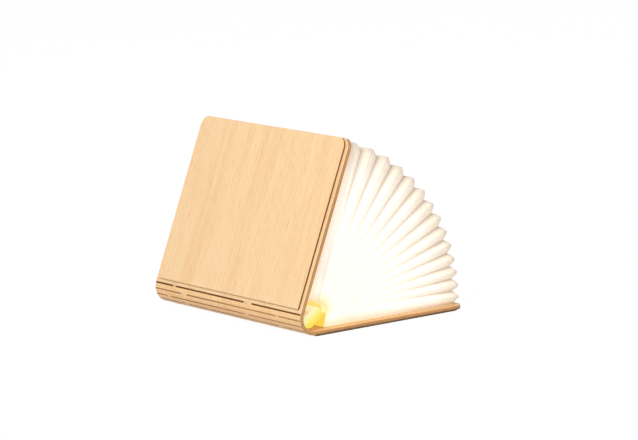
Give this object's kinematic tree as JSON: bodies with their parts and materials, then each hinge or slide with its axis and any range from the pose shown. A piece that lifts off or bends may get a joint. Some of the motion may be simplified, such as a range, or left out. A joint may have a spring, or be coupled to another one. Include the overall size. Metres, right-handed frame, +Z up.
{
  "type": "folding book lamp",
  "caption": "Folding lamp in the form of a book: wood covers on a kerf cut wood spine with a light bar inside, and a pleated paper bellows that fans open between them.",
  "frame": {"origin": "centre of the flat outer face of the lying cover, on the surface that the lamp stands on", "axes": "+X from the spine to the fore edge of the lying cover, +Y along the spine from the tail to the head end, +Z up"},
  "size_m": [0.1519, 0.215, 0.1478],
  "materials": {
    "board_wood": "pale laser cut plywood sheet, satin, scorched brown on its cut edges",
    "panel_wood": "pale maple veneer panel, satin, fine straight grain",
    "page_paper": "warm white coated fibre paper, matt, lets light through",
    "magnet_metal": "nickel plated, polished",
    "diffuser_plastic": "milky warm translucent plastic that glows",
    "housing_plastic": "white moulded plastic, fine satin",
    "circuit_board": "white solder mask",
    "chip_phosphor": "yellow phosphor under clear resin",
    "battery_wrap": "shrink wrap film",
    "control_circuit": "green solder mask",
    "port_metal": "stamped steel shell",
    "sensor_plastic": "black moulded package"
  },
  "bodies": {
    "lower_cover": {"lower_board": "board_wood", "lower_panel": "panel_wood", "lower_end_paper": "page_paper", "lower_magnets": "magnet_metal", "page_01": "page_paper"},
    "spine": {"spine_slat_middle": "board_wood", "light_housing": "housing_plastic", "light_diffuser": "diffuser_plastic", "tail_cap": "diffuser_plastic", "head_cap": "housing_plastic", "light_strip": "circuit_board", "light_chips": "chip_phosphor", "battery_pack": "battery_wrap", "control_board": "control_circuit", "charge_port": "port_metal", "opening_sensor": "sensor_plastic"},
    "slat_lower_outer": {"spine_slat_lower_outer": "board_wood"},
    "slat_lower_inner": {"spine_slat_lower_inner": "board_wood"},
    "slat_raised_inner": {"spine_slat_raised_inner": "board_wood"},
    "slat_raised_outer": {"spine_slat_raised_outer": "board_wood"},
    "raised_cover": {"raised_board": "board_wood", "raised_panel": "panel_wood", "raised_end_paper": "page_paper", "raised_magnets": "magnet_metal", "trigger_magnet": "magnet_metal"},
    "page_02": {"page_02": "page_paper"},
    "page_03": {"page_03": "page_paper"},
    "page_04": {"page_04": "page_paper"},
    "page_05": {"page_05": "page_paper"},
    "page_06": {"page_06": "page_paper"},
    "page_07": {"page_07": "page_paper"},
    "page_08": {"page_08": "page_paper"},
    "page_09": {"page_09": "page_paper"},
    "page_10": {"page_10": "page_paper"},
    "page_11": {"page_11": "page_paper"},
    "page_12": {"page_12": "page_paper"},
    "page_13": {"page_13": "page_paper"},
    "page_14": {"page_14": "page_paper"}
  },
  "joints": [
    {"name": "spine_fold", "type": "hinge", "parent": "lower_cover", "child": "spine", "pos_m": [-0.07555, 0, 0.00441], "axis": [0, -1, 0], "range_deg": [-33.5, 56.5]},
    {"name": "cover_fold", "type": "hinge", "parent": "spine", "child": "raised_cover", "pos_m": [-0.08212, 0, 0.01433], "axis": [0, -1, 0], "range_deg": [-34, 57]},
    {"name": "slit_lower_inner", "type": "hinge", "parent": "spine", "child": "slat_lower_inner", "pos_m": [-0.07911, 0, 0.00661], "axis": [0, -1, 0], "range_deg": [-19.33, 11.67]},
    {"name": "slit_lower_outer", "type": "hinge", "parent": "slat_lower_inner", "child": "slat_lower_outer", "pos_m": [-0.07556, 0, 0.00418], "axis": [0, -1, 0], "range_deg": [-19.33, 11.67]},
    {"name": "slit_raised_inner", "type": "hinge", "parent": "spine", "child": "slat_raised_inner", "pos_m": [-0.08148, 0, 0.0102], "axis": [0, -1, 0], "range_deg": [-11.67, 19.33]},
    {"name": "slit_raised_outer", "type": "hinge", "parent": "slat_raised_inner", "child": "slat_raised_outer", "pos_m": [-0.08234, 0, 0.01441], "axis": [0, -1, 0], "range_deg": [-11.67, 19.33]},
    {"name": "pleat_02", "type": "hinge", "parent": "lower_cover", "child": "page_02", "pos_m": [-0.07419, 0, 0.00235], "axis": [0, -1, 0], "range_deg": [-4.32, 6.95], "deforming": ["page_02", "page_01"]},
    {"name": "pleat_03", "type": "hinge", "parent": "page_02", "child": "page_03", "pos_m": [-0.07477, 0, 0.00323], "axis": [0, -1, 0], "range_deg": [-4.54, 7.32], "deforming": ["page_03"]},
    {"name": "pleat_04", "type": "hinge", "parent": "page_03", "child": "page_04", "pos_m": [-0.07538, 0, 0.00415], "axis": [0, -1, 0], "range_deg": [-4.77, 7.7], "deforming": ["page_04"]},
    {"name": "pleat_05", "type": "hinge", "parent": "page_04", "child": "page_05", "pos_m": [-0.07602, 0, 0.00512], "axis": [0, -1, 0], "range_deg": [-4.99, 8.07], "deforming": ["page_05"]},
    {"name": "pleat_06", "type": "hinge", "parent": "page_05", "child": "page_06", "pos_m": [-0.0767, 0, 0.00614], "axis": [0, -1, 0], "range_deg": [-5.21, 8.44], "deforming": ["page_06"]},
    {"name": "pleat_07", "type": "hinge", "parent": "page_06", "child": "page_07", "pos_m": [-0.07741, 0, 0.00721], "axis": [0, -1, 0], "range_deg": [-5.43, 8.82], "deforming": ["page_07"]},
    {"name": "pleat_08", "type": "hinge", "parent": "page_07", "child": "page_08", "pos_m": [-0.07815, 0, 0.00834], "axis": [0, -1, 0], "range_deg": [-5.65, 9.19], "deforming": ["page_08"]},
    {"name": "pleat_09", "type": "hinge", "parent": "page_08", "child": "page_09", "pos_m": [-0.07892, 0, 0.0095], "axis": [0, -1, 0], "range_deg": [-5.88, 9.57], "deforming": ["page_09"]},
    {"name": "pleat_10", "type": "hinge", "parent": "page_09", "child": "page_10", "pos_m": [-0.07973, 0, 0.01072], "axis": [0, -1, 0], "range_deg": [-6.1, 9.94], "deforming": ["page_10"]},
    {"name": "pleat_11", "type": "hinge", "parent": "page_10", "child": "page_11", "pos_m": [-0.08057, 0, 0.01199], "axis": [0, -1, 0], "range_deg": [-6.32, 10.32], "deforming": ["page_11"]},
    {"name": "pleat_12", "type": "hinge", "parent": "page_11", "child": "page_12", "pos_m": [-0.08144, 0, 0.01331], "axis": [0, -1, 0], "range_deg": [-6.54, 10.69], "deforming": ["page_12"]},
    {"name": "pleat_13", "type": "hinge", "parent": "page_12", "child": "page_13", "pos_m": [-0.08235, 0, 0.01468], "axis": [0, -1, 0], "range_deg": [-6.76, 11.06], "deforming": ["page_13"]},
    {"name": "pleat_14", "type": "hinge", "parent": "page_13", "child": "page_14", "pos_m": [-0.08328, 0, 0.01609], "axis": [0, -1, 0], "range_deg": [-6.99, 11.44], "deforming": ["page_14"]}
  ],
  "couplings": [
    {"joint": "cover_fold", "follows": "spine_fold", "ratio": 1},
    {"joint": "slit_lower_inner", "follows": "spine_fold", "ratio": -0.33333},
    {"joint": "slit_lower_outer", "follows": "spine_fold", "ratio": -0.33333},
    {"joint": "slit_raised_inner", "follows": "spine_fold", "ratio": 0.33333},
    {"joint": "slit_raised_outer", "follows": "spine_fold", "ratio": 0.33333},
    {"joint": "pleat_02", "follows": "spine_fold", "ratio": 0.11408},
    {"joint": "pleat_03", "follows": "spine_fold", "ratio": 0.12071},
    {"joint": "pleat_04", "follows": "spine_fold", "ratio": 0.12734},
    {"joint": "pleat_05", "follows": "spine_fold", "ratio": 0.13396},
    {"joint": "pleat_06", "follows": "spine_fold", "ratio": 0.14059},
    {"joint": "pleat_07", "follows": "spine_fold", "ratio": 0.14722},
    {"joint": "pleat_08", "follows": "spine_fold", "ratio": 0.15385},
    {"joint": "pleat_09", "follows": "spine_fold", "ratio": 0.16047},
    {"joint": "pleat_10", "follows": "spine_fold", "ratio": 0.1671},
    {"joint": "pleat_11", "follows": "spine_fold", "ratio": 0.17373},
    {"joint": "pleat_12", "follows": "spine_fold", "ratio": 0.18036},
    {"joint": "pleat_13", "follows": "spine_fold", "ratio": 0.18698},
    {"joint": "pleat_14", "follows": "spine_fold", "ratio": 0.19361}
  ]
}
